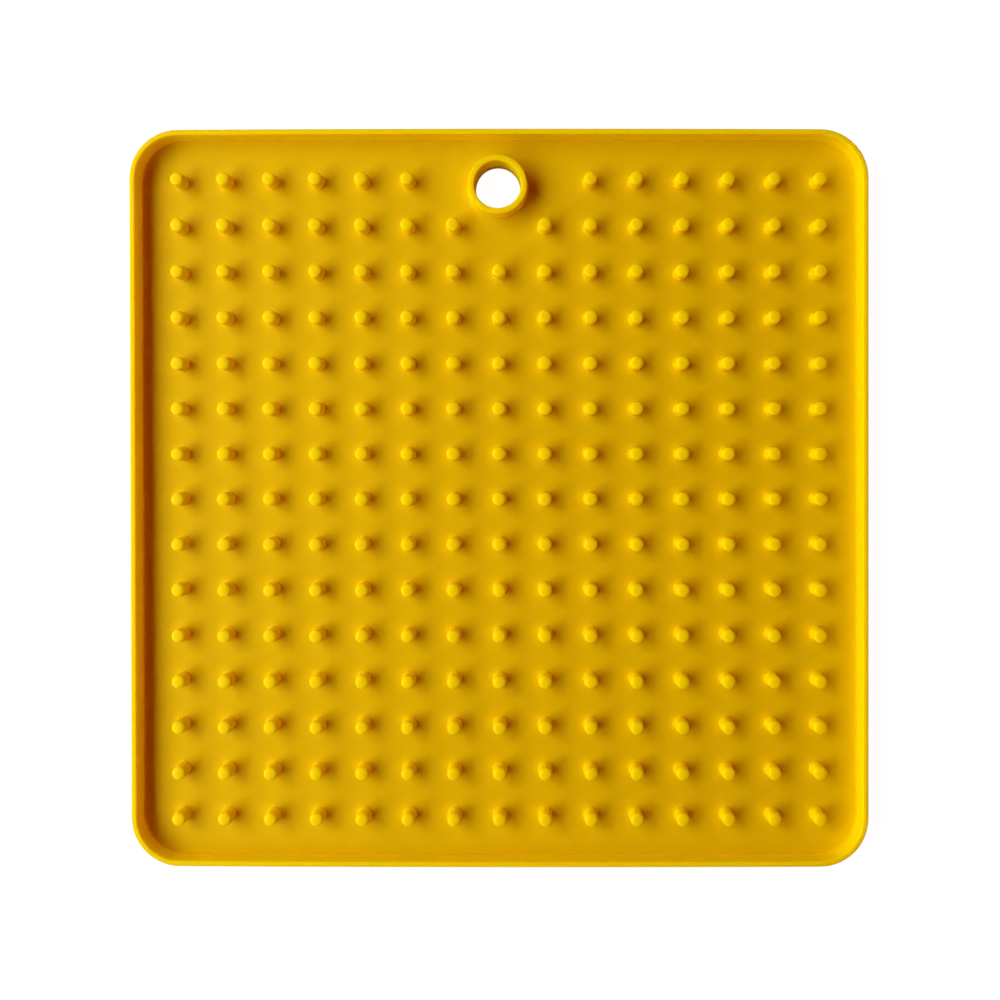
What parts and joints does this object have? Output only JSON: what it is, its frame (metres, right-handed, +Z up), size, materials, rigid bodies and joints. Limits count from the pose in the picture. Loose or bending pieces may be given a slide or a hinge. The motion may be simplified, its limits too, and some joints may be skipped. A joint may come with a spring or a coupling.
{
  "type": "lick mat",
  "caption": "square moulded silicone rubber lick mat: a shallow rimmed tray full of short round pegs, with a hang hole in a raised collar",
  "frame": {"origin": "centre of the flat underside, on the surface that the mat lies on", "axes": "+Z up through the pegs, +Y towards the side with the hang hole, +X to the right seen from above"},
  "size_m": [0.2004, 0.2002, 0.008],
  "materials": {
    "silicone": "matte yellow silicone rubber with a fine satin sheen"
  },
  "bodies": {
    "root": {"mat": "silicone"}
  },
  "joints": []
}
